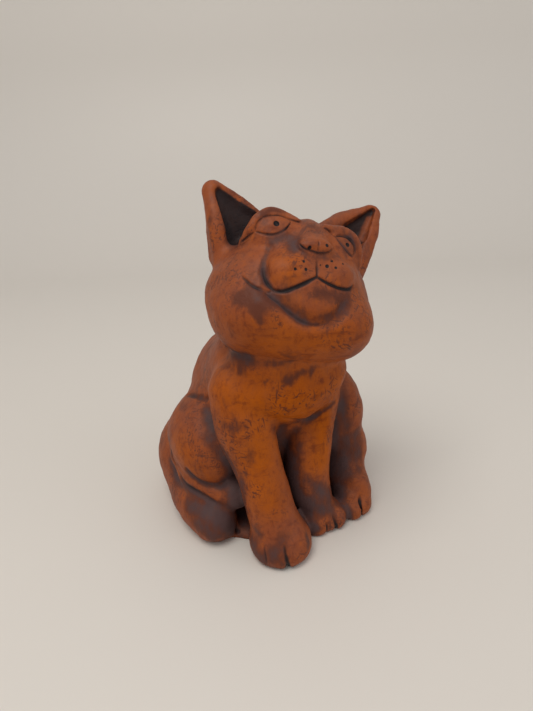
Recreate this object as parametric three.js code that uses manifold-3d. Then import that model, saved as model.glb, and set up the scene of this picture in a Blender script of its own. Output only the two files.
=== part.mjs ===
// Terracotta cat, seated with its head raised.
// Millimetres, +Z up; the cat looks along -Y and its own left side is +X.
// It stands on z = 0. The clay is one closed body, shaped as a field of lumps
// (distance below zero is inside the clay) and then turned into triangles.
import * as THREE from "three";
import Module from "manifold-3d";

// Where the head sits and how it is turned, in degrees: up, tipped to its left, and round.
const HEAD_CENTRE = [12.5, -22.6, 171];
const HEAD_PITCH = 30;
const HEAD_ROLL = 15;
const HEAD_YAW = -1;

// The field is sampled a little below the table and cut flat on it.
const BELOW = 5;
// Sampling cells, finer over the face, and the limits of the fine and the whole range on each axis.
const FINE_CELL = 1.1;
const COARSE_CELL = 2.8;
const RANGE_X = [-96, -32, 60, 104];
const RANGE_Y = [-96, -84, -30, 104];
const RANGE_Z = [-9, 150, 214, 246];

// Thinning: triangles kept, how strongly the face, its lines, the toes and the creases round the
// thigh hold on to theirs,
// the least height of a triangle against its length, and the sharpest turn of a facet.
const TRIANGLES = 9800;
const FACE_CARE = 4;
const LINE_CARE = 60;
const TOE_CARE = 6;
const LINE_REACH = 1.5;
const FLATTEST = 0.035;
const LEAST_TURN = 0.5;
const LENGTH_COST = 0.004;
const FARTHEST_MOVE = 6;

const rad = Math.PI / 180;
const { abs, cos, hypot, max, min, sin, sqrt } = Math;

// Distance helpers: join rounds two lumps together over a width k, carve takes the second away.
function join(a, b, k) {
  const h = max(k - abs(a - b), 0) / k;
  return min(a, b) - h * h * k / 4;
}
const carve = (a, b, k) => -join(-a, b, k);

// An egg with three radii, optionally turned about X, then Y, then Z (degrees).
function egg(centre, radii, turn = [0, 0, 0]) {
  const m = new THREE.Matrix4().makeRotationFromEuler(
    new THREE.Euler(turn[0] * rad, turn[1] * rad, turn[2] * rad, "ZYX")).elements;
  const [cx, cy, cz] = centre;
  const [rx, ry, rz] = radii;
  return (x, y, z) => {
    const dx = x - cx;
    const dy = y - cy;
    const dz = z - cz;
    const u = (m[0] * dx + m[1] * dy + m[2] * dz) / rx;
    const v = (m[4] * dx + m[5] * dy + m[6] * dz) / ry;
    const w = (m[8] * dx + m[9] * dy + m[10] * dz) / rz;
    const k0 = hypot(u, v, w);
    const k1 = hypot(u / rx, v / ry, w / rz);
    return k1 < 1e-9 ? -min(rx, ry, rz) : k0 * (k0 - 1) / k1;
  };
}

// Rods from point to point, each point as [x, y, z, radius].
function rods(points) {
  const box = new THREE.Box3().setFromPoints(points.map((q) => new THREE.Vector3(q[0], q[1], q[2])));
  const ball = box.getBoundingSphere(new THREE.Sphere());
  const { x: mx, y: my, z: mz } = ball.center;
  const margin = 12;
  const reach = ball.radius + max(...points.map((q) => q[3])) + margin;
  return (x, y, z) => {
    const gap = hypot(x - mx, y - my, z - mz) - reach;
    if (gap > 0) return gap + margin;
    let d = 1e9;
    for (let i = 0; i + 1 < points.length; i += 1) {
      const [ax, ay, az, ar] = points[i];
      const [bx, by, bz, br] = points[i + 1];
      const ex = bx - ax;
      const ey = by - ay;
      const ez = bz - az;
      const px = x - ax;
      const py = y - ay;
      const pz = z - az;
      const t = min(1, max(0, (px * ex + py * ey + pz * ez) / (ex * ex + ey * ey + ez * ez)));
      d = min(d, hypot(px - t * ex, py - t * ey, pz - t * ez) - (ar + t * (br - ar)));
    }
    return d;
  };
}

// A limb: a smooth rod through knots of [x, y, z, radius], round at both ends.
function limb(knots, steps = 8) {
  const path = new THREE.CatmullRomCurve3(knots.map((q) => new THREE.Vector3(q[0], q[1], q[2])));
  const girth = new THREE.SplineCurve(knots.map((q, i) => new THREE.Vector2(i, q[3])));
  const count = steps * (knots.length - 1);
  const points = [];
  for (let i = 0; i <= count; i += 1) {
    points.push([...path.getPoint(i / count).toArray(), girth.getPoint(i / count).y]);
  }
  return rods(points);
}

// A drawn line: thin at both ends.
function line(knots, radius, steps = 6, taper = 0.35) {
  const path = new THREE.CatmullRomCurve3(knots.map((q) => new THREE.Vector3(...q)));
  const count = steps * (knots.length - 1);
  const points = [];
  for (let i = 0; i <= count; i += 1) {
    const swell = sqrt(max(0, sin(Math.PI * i / count)));
    points.push([...path.getPoint(i / count).toArray(), radius * (taper + (1 - taper) * swell)]);
  }
  return rods(points);
}

function union(...shapes) {
  return (x, y, z) => shapes.reduce((d, shape) => min(d, shape(x, y, z)), 1e9);
}

function blend(k, ...shapes) {
  return (x, y, z) => {
    let d = shapes[0](x, y, z);
    for (let i = 1; i < shapes.length; i += 1) {
      d = join(d, shapes[i](x, y, z), k);
    }
    return d;
  };
}

// The head's own frame: X to the cat's left, Y out of the face, Z up the face.
function headAxes() {
  const p = HEAD_PITCH * rad;
  const r = HEAD_ROLL * rad;
  const out = new THREE.Vector3(0, -cos(p), sin(p));
  const up = new THREE.Vector3(0, sin(p), cos(p));
  const side = new THREE.Vector3(1, 0, 0);
  const x = side.clone().multiplyScalar(cos(r)).addScaledVector(up, -sin(r));
  const z = up.clone().multiplyScalar(cos(r)).addScaledVector(side, sin(r));
  const axis = new THREE.Vector3(0, 0, 1);
  return [x, out, z].map((v) => v.applyAxisAngle(axis, HEAD_YAW * rad).toArray());
}
const [HX, HY, HZ] = headAxes();
function inHead(shape) {
  const [cx, cy, cz] = HEAD_CENTRE;
  return (x, y, z) => {
    const a = x - cx;
    const b = y - cy;
    const c = z - cz;
    return shape(HX[0] * a + HX[1] * b + HX[2] * c, HY[0] * a + HY[1] * b + HY[2] * c,
      HZ[0] * a + HZ[1] * b + HZ[2] * c);
  };
}

// Body, legs and feet. Eggs give centre, radii and turn; limbs give knots with their radius.
const torso = blend(16,
  egg([4.5, -14, 112], [44, 40, 40]),
  egg([-2, 14, 76], [46, 48, 56], [-24, 0, 0]),
  egg([2, 26, 24], [52, 46, 46]),
);
const rump = union(
  egg([-40.5, 28, 30.2], [35.2, 34, 39.5]),
  egg([39, 29, 28], [33, 34, 38]),
);
const tail = limb([[2, 62, 54, 9], [7, 69, 32, 10], [20, 69, 14, 10], [42, 61, 10, 9.5], [58, 48, 8, 8]]);
const chest = egg([4, -37.5, 116], [38, 25, 21.5], [10, 0, 6]);
const throat = egg([5, -38, 135], [36, 23, 15]);
const floorFill = egg([-2, -2, 0], [54, 52, 11]);

const haunchRight = blend(16,
  egg([-33, 4, 75], [20, 26, 20]),
  egg([-46, -2, 60.5], [24, 34, 29], [8, 0, 10]),
);
const haunchLeft = blend(14,
  egg([36, 4, 80], [20, 28, 24]),
  egg([42, 6, 58], [24, 36, 28], [8, 0, -10]),
);
const shinRight = limb([[-61, 2, 48, 9], [-54, -12, 36, 12], [-36, -32, 33, 11]]);
const hindFootRight = limb([[-58, 22, 24, 13], [-60, 6, 18, 15], [-55, -14, 15, 17.5],
  [-51.5, -29, 13, 15.5]]);
const shinLeft = limb([[39, -16, 100, 14], [50.5, -22, 77, 14.3], [54, -22, 55, 12.2],
  [56, -22, 37, 14], [52, -24, 20, 13]]);
const hindFootLeft = blend(6,
  egg([48.8, -23, 16], [14, 30, 21], [10, 0, 14]),
  egg([43.5, -45, 6], [9.5, 15.5, 10.5]),
  egg([52.6, -42, 6], [8.6, 15.5, 10.5]),
);

const forelegRight = limb([[-27, -33, 112, 20], [-27.5, -39, 89, 18.6], [-24.4, -45, 68, 16],
  [-22, -50, 52, 15.7], [-19, -55, 30, 16.2], [-16, -60, 14, 17]]);
const forelegLeft = limb([[27, -27, 94, 17], [20.2, -33, 74, 16.5], [14.2, -40, 46, 15],
  [14.3, -44, 28, 14.5], [18, -48, 12, 12]]);
const pawRight = egg([-15.4, -61, 8], [20.6, 21, 15]);
const pawLeft = blend(5, egg([13.5, -50, 6], [11, 13.5, 11]), egg([27, -49.5, 6], [11.5, 14, 10]));
const toes = union(
  line([[-19.3, -77.2, 19.3], [-19.8, -79.7, 15], [-19.6, -81.3, 10.5], [-18.8, -81.5, 6],
    [-18, -80, -2]], 1.9, 4, 0.6),
  line([[-30.7, -70.5, 17.9], [-31.2, -73, 13.5], [-31.3, -74.4, 8.9], [-31, -74, -2]], 1.3, 4, 0.6),
  line([[-7.5, -76.4, 18], [-10, -80, 12], [-10.5, -80.5, 4], [-10.5, -79, -2]], 1.2, 4, 0.6),
  line([[23.9, -60.3, 13.7], [24.3, -62.6, 9.2], [25.6, -63, 3.6], [25.6, -62, -2]], 1.7, 4, 0.6),
  line([[17.6, -62.2, 11.4], [18.4, -62.1, 2.9], [18.4, -61, -2]], 1.3, 4, 0.6),
  line([[50.6, -46, 22], [50, -51.3, 17.6], [48.3, -54.6, 13.6], [47.2, -57.3, 8.9],
    [47.4, -57, -2]], 1.9, 4, 0.6),
  line([[-38.2, -36.9, 14.2], [-38.3, -37.6, 6.6], [-38.3, -37, -2]], 1.5, 4, 0.6),
);
// Creases round the right thigh: behind it, below it, and at the shoulder above it.
const thighLines = union(
  line([[-69.5, 10, 61], [-70.4, 2, 52.5], [-69.5, -6, 43], [-65.5, -16, 37], [-58.5, -25.4, 35],
    [-51.6, -32.7, 30.7], [-46.6, -38, 25]], 3, 4, 0.5),
  line([[-64.4, -19.4, 53.4], [-59.7, -22.7, 46.4], [-54, -27.3, 42.3], [-46.7, -31.9, 42.4],
    [-42.6, -32.6, 44.4]], 2.4, 4, 0.5),
  line([[-51, 14, 90], [-47.5, 1.4, 94.2], [-43.2, -7.8, 95.6]], 2.4, 4, 0.5),
);

// A rounded plate over a triangle: corners as [x, y, z, radius].
function flap(a, b, c) {
  const A = new THREE.Vector3(...a);
  const B = new THREE.Vector3(...b);
  const C = new THREE.Vector3(...c);
  const triangle = new THREE.Triangle(A, B, C);
  const p = new THREE.Vector3();
  const q = new THREE.Vector3();
  const bary = new THREE.Vector3();
  return (x, y, z) => {
    triangle.closestPointToPoint(p.set(x, y, z), q);
    triangle.getBarycoord(q, bary);
    return p.distanceTo(q) - (bary.x * a[3] + bary.y * b[3] + bary.z * c[3]);
  };
}
// Head, in its own frame.
const skull = blend(8,
  egg([-1, 0, -5], [46, 43, 35]),
  egg([-2, 2, -13], [49, 43, 34]),
  egg([-22, 12, -24], [26, 31, 22]),
  egg([22, 12, -26.8], [25, 31, 21]),
  egg([0, 14, -29], [26, 27, 20]),
);
const muzzle = egg([0, 27, -4], [27, 18, 17]);
const bridge = limb([[0, 12, 21, 10], [1, 27, 20, 10.5], [1, 37, 12, 8]]);
const eyeBulge = union(
  egg([-19.5, 24, 21], [14, 12.5, 12], [0, 0, 16]),
  egg([20.5, 23, 16], [14, 12.5, 12], [0, 0, -16]),
);
const lobes = union(
  egg([-12.5, 34, -3.8], [14.2, 14.5, 12.2], [-10, -12, 14]),
  egg([12.5, 34, -2], [15, 14, 11], [-10, 4, -14]),
);
const chin = egg([-1, 29, -19], [23, 15.5, 14.5], [-16, 0, 0]);
const nose = blend(3,
  egg([0, 45.6, 9.8], [9.6, 4.6, 4.3], [-28, 0, 0]),
  egg([0.5, 41.5, 12.6], [7.5, 4.6, 4.2], [-28, 0, 0]),
);
const ear = union(
  blend(4,
    flap([-50.5, 2, 50, 4.5], [-42, -6, 15, 7.5], [-20, -4, 33, 6]),
    limb([[-41, 2, 12, 7], [-48, 6, 33, 5.8], [-50.8, 5, 49, 4.8]]),
    limb([[-17.5, 2, 35, 4.5], [-33.5, 1, 46.5, 4.4], [-50, 4, 51.5, 4.8]]),
  ),
  blend(4,
    flap([52.5, 2, 50, 4.5], [43, -6, 15, 7.5], [20, -4, 33, 6]),
    limb([[42, 2, 12, 7], [50, 6, 33, 6], [53, 5, 49, 4.8]]),
    limb([[18, 2, 34, 5], [34.5, 1, 44.8, 5], [52, 4, 50.6, 4.6]]),
  ),
);
const earPit = union(
  flap([-46.5, 10, 48, 3], [-35, 8, 23, 6], [-23.5, 8, 34, 6]),
  flap([51.5, 8, 50.5, 2], [38, 5, 38.5, 4.2], [44, 7, 33, 4.5]),
  flap([45, 10, 42, 2.4], [37, 9, 20, 5], [27, 9, 31, 5]),
);

const plainHead = (x, y, z) => {
  let d = skull(x, y, z);
  d = join(d, ear(x, y, z), 6);
  d = carve(d, earPit(x, y, z), 2);
  if (y < -5) return d;
  d = join(d, muzzle(x, y, z), 10);
  d = join(d, bridge(x, y, z), 12);
  d = join(d, eyeBulge(x, y, z), 8);
  d = join(d, chin(x, y, z), 5);
  d = join(d, lobes(x, y, z), 2.5);
  d = join(d, nose(x, y, z), 2.5);
  return d;
};

// Depth of the face at a place seen from straight in front of it.
function faceDepth(x, z) {
  let out = 62;
  let into = 0;
  for (let y = out; y > into; y -= 1) {
    if (plainHead(x, y, z) < 0) {
      into = y;
      out = y + 1;
      break;
    }
  }
  for (let i = 0; i < 12; i += 1) {
    const mid = (out + into) / 2;
    if (plainHead(x, mid, z) < 0) into = mid;
    else out = mid;
  }
  return into;
}
// A line drawn on the face through [x, z] places, sunk or lifted a little.
const drawn = (knots, lift, radius, steps = 5, taper = 0.6) => line(
  knots.map(([x, z]) => [x, faceDepth(x, z) + lift, z]), radius, steps, taper);

const lidRight = [[-35.2, 14.5], [-32.5, 20.5], [-28.5, 26.5], [-21.5, 31], [-13.5, 30], [-7, 26.5]];
const lidLeft = [[33, 8], [31.5, 15.5], [27.5, 21.8], [21.5, 25.4], [14.5, 25], [8, 24.5]];
const upperRight = [[-30.4, 19], [-29.4, 23.6], [-26, 27], [-20.6, 28.3], [-15, 27.6],
  [-10.5, 26], [-6.5, 26]];
const lowerRight = [[-30.4, 19], [-26.5, 17.2], [-21.5, 16.6], [-16, 19], [-11, 25.4]];
const upperLeft = [[9.5, 24.5], [12, 22], [14.5, 19.8], [18.5, 21.8], [23, 21.4], [27, 17.8],
  [28.8, 13.4]];
const lowerLeft = [[14.5, 19.8], [18.2, 15.6], [22.4, 12.2], [26.4, 10.6], [28.8, 13.4]];
const EYE_LINE = 1.5;
const lids = union(drawn(lidRight, -0.6, 3), drawn(lidLeft, 0.4, 3));
const eyeLines = union(
  drawn(upperRight, 0.2, EYE_LINE),
  drawn(lowerRight, 0.2, EYE_LINE),
  drawn([[-30.5, 18.6], [-33, 16.8], [-36, 14.6]], 0.2, EYE_LINE),
  drawn(upperLeft, 0.2, EYE_LINE),
  drawn(lowerLeft, 0.2, EYE_LINE),
);
const mouthRight = [[0.3, -7.4], [-5.6, -11], [-11, -13.8], [-17.5, -16.4], [-21.5, -15.9]];
const lobeFold = drawn([[-17.5, -16.4], [-21.5, -15.9], [-25.2, -11.2], [-26.7, -6.6], [-26.8, -1.3],
  [-25.6, 4.2], [-23, 9.4]], 0.5, 2);
const mouthLeft = [[0.3, -7.4], [6, -9.9], [14, -11.6], [21, -11], [24.5, -8.5]];
const mouth = union(drawn(mouthRight, 0, 1.5), drawn(mouthLeft, 0, 1.5));
const noseUnder = drawn([[-9.6, 9.8], [-7, 7], [-3.5, 5.9], [0, 5.2], [4, 5.6], [7.5, 6.8],
  [9.6, 9.4]], 0, 1.2);
const philtrum = drawn([[0, 5], [0.3, -1], [0.3, -8]], 0.2, 1.3, 3);
const smile = drawn([[-23.5, -16.6], [-29.2, -15.3], [-32.3, -13.7], [-34.6, -11.3], [-37, -7.8]],
  0, 1.3);
const chinCrease = drawn([[-25.9, -16.2], [-18.6, -22.3], [-12.4, -26.6], [-5.3, -30.4],
  [2.4, -31.8], [9.7, -29.8], [13.9, -27.1], [18.8, -21.8]], 0.6, 2.6);

const headField = inHead((x, y, z) => {
  let d = plainHead(x, y, z);
  if (y < 5 || d > 8) return d;
  d = join(d, lids(x, y, z), 2);
  d = carve(d, chinCrease(x, y, z), 5);
  d = carve(d, lobeFold(x, y, z), 3);
  d = carve(d, eyeLines(x, y, z), 1.2);
  d = carve(d, mouth(x, y, z), 1.5);
  d = carve(d, philtrum(x, y, z), 1);
  d = carve(d, noseUnder(x, y, z), 1);
  d = carve(d, smile(x, y, z), 1.5);
  return d;
});

function bodyField(x, y, z) {
  let d = torso(x, y, z);
  d = join(d, floorFill(x, y, z), 8);
  d = join(d, chest(x, y, z), 12);
  d = join(d, throat(x, y, z), 9);
  d = join(d, rump(x, y, z), 14);
  d = join(d, tail(x, y, z), 4);
  d = join(d, hindFootRight(x, y, z), 8);
  const hindRight = join(haunchRight(x, y, z), shinRight(x, y, z), 5);
  d = join(d, hindRight, 6);
  const hindLeft = join(haunchLeft(x, y, z), shinLeft(x, y, z), 12);
  d = join(d, join(hindLeft, hindFootLeft(x, y, z), 6), 4);
  const right = join(forelegRight(x, y, z), pawRight(x, y, z), 6);
  d = join(d, right, 5);
  const left = join(forelegLeft(x, y, z), pawLeft(x, y, z), 6);
  d = join(d, left, 3);
  d = carve(d, thighLines(x, y, z), 4);
  d = carve(d, toes(x, y, z), 2);
  return d;
}

// The whole clay. Above the shoulders only the head counts, below the throat only the body.
const BODY_TOP = 165;
const HEAD_FOOT = 105;
const AWAY = 40;
function clay(x, y, z) {
  const body = z > BODY_TOP ? AWAY : bodyField(x, y, z);
  const head = z < HEAD_FOOT ? AWAY : headField(x, y, z);
  return max(join(body, head, 3), -BELOW - z);
}

// Each grid cube is split into six four-cornered blocks round its diagonal; a block that the
// surface crosses gives one or two triangles, so the skin is closed everywhere.
const BLOCKS = [[1, 2, 4], [2, 4, 1], [4, 1, 2], [2, 1, 4], [1, 4, 2], [4, 2, 1]];
const SPLITS = new Map([[1, [0, 1, 2, 3]], [2, [1, 0, 3, 2]], [4, [2, 3, 0, 1]], [8, [3, 2, 1, 0]],
  [3, [0, 1, 2, 3]], [5, [0, 2, 3, 1]], [9, [0, 3, 1, 2]], [12, [2, 3, 0, 1]], [10, [3, 1, 0, 2]],
  [6, [1, 2, 0, 3]]]);

// Grid places along one axis: fine between two limits, coarse outside them.
function places(low, fineFrom, fineTo, high) {
  const out = [low];
  while (out[out.length - 1] < high) {
    const last = out[out.length - 1];
    out.push(last + (last >= fineFrom && last < fineTo ? FINE_CELL : COARSE_CELL));
  }
  return out;
}

function polygonise(field, xs, ys, zs) {
  const [nx, ny, nz] = [xs.length, ys.length, zs.length];
  const at = (i, j, k) => (k * ny + j) * nx + i;
  const value = new Float32Array(nx * ny * nz);
  // Groups of cells whose middle is far from the surface are filled in one go.
  const group = 4;
  const steepest = 1.6;
  const margin = 3;
  for (let k = 0; k < nz; k += group) {
    for (let j = 0; j < ny; j += group) {
      for (let i = 0; i < nx; i += group) {
        const ends = [i, j, k].map((v, s) => min(v + group, [nx, ny, nz][s]));
        const low = [xs[i], ys[j], zs[k]];
        const high = [xs[ends[0] - 1], ys[ends[1] - 1], zs[ends[2] - 1]];
        const d = field(...low.map((v, s) => (v + high[s]) / 2));
        const far = hypot(...low.map((v, s) => high[s] - v)) / 2 * steepest + margin;
        for (let c = k; c < ends[2]; c += 1) {
          for (let b = j; b < ends[1]; b += 1) {
            for (let a = i; a < ends[0]; a += 1) {
              value[at(a, b, c)] = abs(d) > far ? d : field(xs[a], ys[b], zs[c]);
            }
          }
        }
      }
    }
  }
  const points = [];
  const faces = [];
  const index = new Map();
  const shift = Array.from({ length: 8 }, (_, q) => at(q & 1, (q >> 1) & 1, q >> 2));
  function crossing(base, i, j, k, p, q) {
    const [lo, hi] = p < q ? [p, q] : [q, p];
    const key = (base + shift[lo]) * 8 + (hi - lo);
    if (!index.has(key)) {
      const a = value[base + shift[lo]];
      const b = value[base + shift[hi]];
      const t = min(0.96, max(0.04, a / (a - b)));
      const along = (list, n, bit) => {
        const from = list[n + ((lo >> bit) & 1)];
        return from + t * (list[n + ((hi >> bit) & 1)] - from);
      };
      index.set(key, points.length);
      points.push([along(xs, i, 0), along(ys, j, 1), along(zs, k, 2)]);
    }
    return index.get(key);
  }
  for (let k = 0; k < nz - 1; k += 1) {
    for (let j = 0; j < ny - 1; j += 1) {
      for (let i = 0; i < nx - 1; i += 1) {
        const base = at(i, j, k);
        let inside = 0;
        for (let q = 0; q < 8; q += 1) inside += value[base + shift[q]] < 0 ? 1 : 0;
        if (inside === 0 || inside === 8) continue;
        BLOCKS.forEach(([a, b], odd) => {
          const corner = odd > 2 ? [0, a + b, a, 7] : [0, a, a + b, 7];
          let mask = 0;
          corner.forEach((q, s) => {
            mask += value[base + shift[q]] < 0 ? 1 << s : 0;
          });
          if (mask === 0 || mask === 15) return;
          const flip = !SPLITS.has(mask);
          const [p, q, r, s] = SPLITS.get(flip ? 15 - mask : mask).map((c) => corner[c]);
          const cut = (m, n) => crossing(base, i, j, k, m, n);
          const single = [1, 2, 4, 8].includes(flip ? 15 - mask : mask);
          const loop = single
            ? [cut(p, q), cut(p, r), cut(p, s)]
            : [cut(p, r), cut(p, s), cut(q, s), cut(q, r)];
          if (flip) loop.reverse();
          faces.push([loop[0], loop[1], loop[2]]);
          if (!single) faces.push([loop[0], loop[2], loop[3]]);
        });
      }
    }
  }
  return { points, faces };
}

// Joins short or flat edges away until the count of triangles is reached.
function thin(mesh, target, care) {
  const P = mesh.points;
  const F = mesh.faces;
  const Q = P.map(() => new Float64Array(10));
  const around = P.map(() => new Set());
  const alive = new Uint8Array(P.length).fill(1);
  const plane = (f) => {
    const [a, b, c] = f.map((i) => P[i]);
    const ux = b[0] - a[0];
    const uy = b[1] - a[1];
    const uz = b[2] - a[2];
    const vx = c[0] - a[0];
    const vy = c[1] - a[1];
    const vz = c[2] - a[2];
    return [uy * vz - uz * vy, uz * vx - ux * vz, ux * vy - uy * vx];
  };
  F.forEach((f, fi) => {
    const n = plane(f);
    const len = hypot(...n) || 1e-12;
    const [a, b, c] = n.map((v) => v / len);
    const [px, py, pz] = P[f[0]];
    const d = -(a * px + b * py + c * pz);
    const w = len / 2 * care(px, py, pz);
    const q = [a * a, a * b, a * c, a * d, b * b, b * c, b * d, c * c, c * d, d * d];
    for (const i of f) {
      around[i].add(fi);
      for (let s = 0; s < 10; s += 1) Q[i][s] += q[s] * w;
    }
  });
  const cost = (q, x, y, z) => q[0] * x * x + 2 * q[1] * x * y + 2 * q[2] * x * z + 2 * q[3] * x
    + q[4] * y * y + 2 * q[5] * y * z + 2 * q[6] * y + q[7] * z * z + 2 * q[8] * z + q[9];
  const version = new Uint32Array(P.length);
  const heap = [];
  const less = (a, b) => heap[a][0] < heap[b][0];
  const push = (item) => {
    heap.push(item);
    let i = heap.length - 1;
    while (i > 0) {
      const up = (i - 1) >> 1;
      if (!less(i, up)) break;
      [heap[i], heap[up]] = [heap[up], heap[i]];
      i = up;
    }
  };
  const pop = () => {
    const top = heap[0];
    const last = heap.pop();
    if (heap.length) {
      heap[0] = last;
      let i = 0;
      for (;;) {
        let s = 2 * i + 1;
        if (s >= heap.length) break;
        if (s + 1 < heap.length && less(s + 1, s)) s += 1;
        if (!less(s, i)) break;
        [heap[i], heap[s]] = [heap[s], heap[i]];
        i = s;
      }
    }
    return top;
  };
  // Square of the longest edge of a triangle once its corner v stands at p.
  const longest = (f, v, p) => {
    const [a, b, c] = f.map((w) => (w === v ? p : P[w]));
    const gap2 = (m, n) => (m[0] - n[0]) ** 2 + (m[1] - n[1]) ** 2 + (m[2] - n[2]) ** 2;
    return max(gap2(a, b), gap2(b, c), gap2(c, a));
  };
  const offer = (i, j) => {
    const q = Q[i].map((v, s) => v + Q[j][s]);
    const best = [P[i], P[j], [0, 1, 2].map((s) => (P[i][s] + P[j][s]) / 2)];
    const det = q[0] * (q[4] * q[7] - q[5] * q[5]) - q[1] * (q[1] * q[7] - q[5] * q[2])
      + q[2] * (q[1] * q[5] - q[4] * q[2]);
    if (abs(det) > 1e-4 * abs(q[0] + q[4] + q[7]) ** 3) {
      const x = -(q[3] * (q[4] * q[7] - q[5] * q[5]) - q[1] * (q[6] * q[7] - q[5] * q[8])
        + q[2] * (q[6] * q[5] - q[4] * q[8])) / det;
      const y = -(q[0] * (q[6] * q[7] - q[5] * q[8]) - q[3] * (q[1] * q[7] - q[5] * q[2])
        + q[2] * (q[1] * q[8] - q[6] * q[2])) / det;
      const z = -(q[0] * (q[4] * q[8] - q[6] * q[5]) - q[1] * (q[1] * q[8] - q[6] * q[2])
        + q[3] * (q[1] * q[5] - q[4] * q[2])) / det;
      if (hypot(x - best[2][0], y - best[2][1], z - best[2][2]) < FARTHEST_MOVE) best.push([x, y, z]);
    }
    const len2 = (P[i][0] - P[j][0]) ** 2 + (P[i][1] - P[j][1]) ** 2 + (P[i][2] - P[j][2]) ** 2;
    let pick = null;
    let low = Infinity;
    for (const p of best) {
      const c = cost(q, ...p);
      if (c < low) {
        low = c;
        pick = p;
      }
    }
    push([low + len2 * LENGTH_COST, i, j, version[i], version[j], pick]);
  };
  F.forEach((f) => {
    for (let s = 0; s < 3; s += 1) {
      if (f[s] < f[(s + 1) % 3]) offer(f[s], f[(s + 1) % 3]);
    }
  });
  const ring = (i) => {
    const out = new Set();
    for (const fi of around[i]) for (const v of F[fi]) if (v !== i) out.add(v);
    return out;
  };
  let count = F.length;
  while (count > target && heap.length) {
    const [, i, j, vi, vj, p] = pop();
    if (!alive[i] || !alive[j] || version[i] !== vi || version[j] !== vj) continue;
    const ringI = ring(i);
    const ringJ = ring(j);
    if (!ringI.has(j)) continue;
    let common = 0;
    for (const v of ringI) if (ringJ.has(v)) common += 1;
    if (common !== 2) continue;
    let bad = false;
    for (const v of [i, j]) {
      const other = v === i ? j : i;
      for (const fi of around[v]) {
        if (F[fi].includes(other)) continue;
        const before = plane(F[fi]);
        const keep = P[v];
        P[v] = p;
        const after = plane(F[fi]);
        P[v] = keep;
        const la = hypot(...before);
        const lb = hypot(...after);
        const dot = before[0] * after[0] + before[1] * after[1] + before[2] * after[2];
        const longAfter = longest(F[fi], v, p);
        const worse = lb * longest(F[fi], v, keep) < la * longAfter;
        if ((worse && lb < FLATTEST * longAfter) || dot < LEAST_TURN * la * lb) bad = true;
      }
    }
    if (bad) continue;
    P[i] = p;
    for (let s = 0; s < 10; s += 1) Q[i][s] += Q[j][s];
    for (const fi of [...around[j]]) {
      const f = F[fi];
      if (f.includes(i)) {
        for (const v of f) around[v].delete(fi);
        F[fi] = null;
        count -= 1;
      } else {
        F[fi] = f.map((v) => (v === j ? i : v));
        around[i].add(fi);
      }
    }
    around[j].clear();
    alive[j] = 0;
    version[i] += 1;
    for (const v of ring(i)) offer(min(i, v), max(i, v));
  }
  const renumber = new Int32Array(P.length).fill(-1);
  const points = [];
  const faces = [];
  for (const f of F) {
    if (!f) continue;
    faces.push(f.map((v) => {
      if (renumber[v] < 0) {
        renumber[v] = points.length;
        points.push(P[v]);
      }
      return renumber[v];
    }));
  }
  return { points, faces };
}

const wasm = await Module();
wasm.setup();

function solidOf({ points, faces }) {
  return new wasm.Manifold(new wasm.Mesh({
    numProp: 3,
    vertProperties: new Float32Array(points.flat()),
    triVerts: new Uint32Array(faces.flat()),
  }));
}

// A block whose top is the table.
function boxBelow() {
  const side = 600;
  const depth = 100;
  const box = new THREE.BoxGeometry(side, side, depth);
  const pos = box.toNonIndexed().attributes.position;
  const points = [];
  const faces = [];
  const seen = new Map();
  for (let i = 0; i < pos.count; i += 1) {
    const p = [pos.getX(i), pos.getY(i), pos.getZ(i) - depth / 2];
    const key = p.join();
    if (!seen.has(key)) {
      seen.set(key, points.length);
      points.push(p);
    }
    if (i % 3 === 0) faces.push([]);
    faces[faces.length - 1].push(seen.get(key));
  }
  return solidOf({ points, faces });
}

// Places that keep more of their triangles: the face, and most of all its drawn lines.
const faceLines = inHead(union(eyeLines, mouth, lobeFold, philtrum, smile, lids));
function care(x, y, z) {
  if (z < 120 || y > 10) {
    return min(toes(x, y, z), thighLines(x, y, z)) < LINE_REACH ? TOE_CARE : 1;
  }
  return faceLines(x, y, z) < LINE_REACH ? LINE_CARE : FACE_CARE;
}

function catGeometry() {
  const grid = polygonise(clay, places(...RANGE_X), places(...RANGE_Y), places(...RANGE_Z));
  const few = thin(grid, TRIANGLES, care);
  const mesh = solidOf(few).subtract(boxBelow()).getMesh();
  const geometry = new THREE.BufferGeometry();
  geometry.setAttribute("position", new THREE.BufferAttribute(new Float32Array(mesh.vertProperties), 3));
  geometry.setIndex([...mesh.triVerts]);
  geometry.computeVertexNormals();
  return geometry;
}

const cat = new THREE.Mesh(catGeometry(), new THREE.MeshStandardMaterial({
  color: 0xa8522c,
  roughness: 0.62,
  metalness: 0,
}));
cat.name = "cat";

const row = new THREE.Group();
row.add(cat);
export default row;
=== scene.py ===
import math

import bmesh
import bpy
import numpy as np
from mathutils import Euler, Matrix, Vector


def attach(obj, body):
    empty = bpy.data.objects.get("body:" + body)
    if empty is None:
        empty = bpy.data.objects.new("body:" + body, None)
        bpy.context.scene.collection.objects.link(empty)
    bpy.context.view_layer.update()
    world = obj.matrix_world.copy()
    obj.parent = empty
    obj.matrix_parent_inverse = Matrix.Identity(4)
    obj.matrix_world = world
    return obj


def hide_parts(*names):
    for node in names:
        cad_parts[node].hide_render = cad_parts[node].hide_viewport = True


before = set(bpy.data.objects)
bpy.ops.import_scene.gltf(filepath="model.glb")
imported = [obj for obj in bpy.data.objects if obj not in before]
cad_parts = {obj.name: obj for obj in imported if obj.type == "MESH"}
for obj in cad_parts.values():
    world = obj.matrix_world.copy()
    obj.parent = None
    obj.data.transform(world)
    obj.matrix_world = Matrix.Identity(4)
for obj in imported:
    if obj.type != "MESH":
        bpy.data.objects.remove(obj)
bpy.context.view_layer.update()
print("frame loaded")

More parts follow.
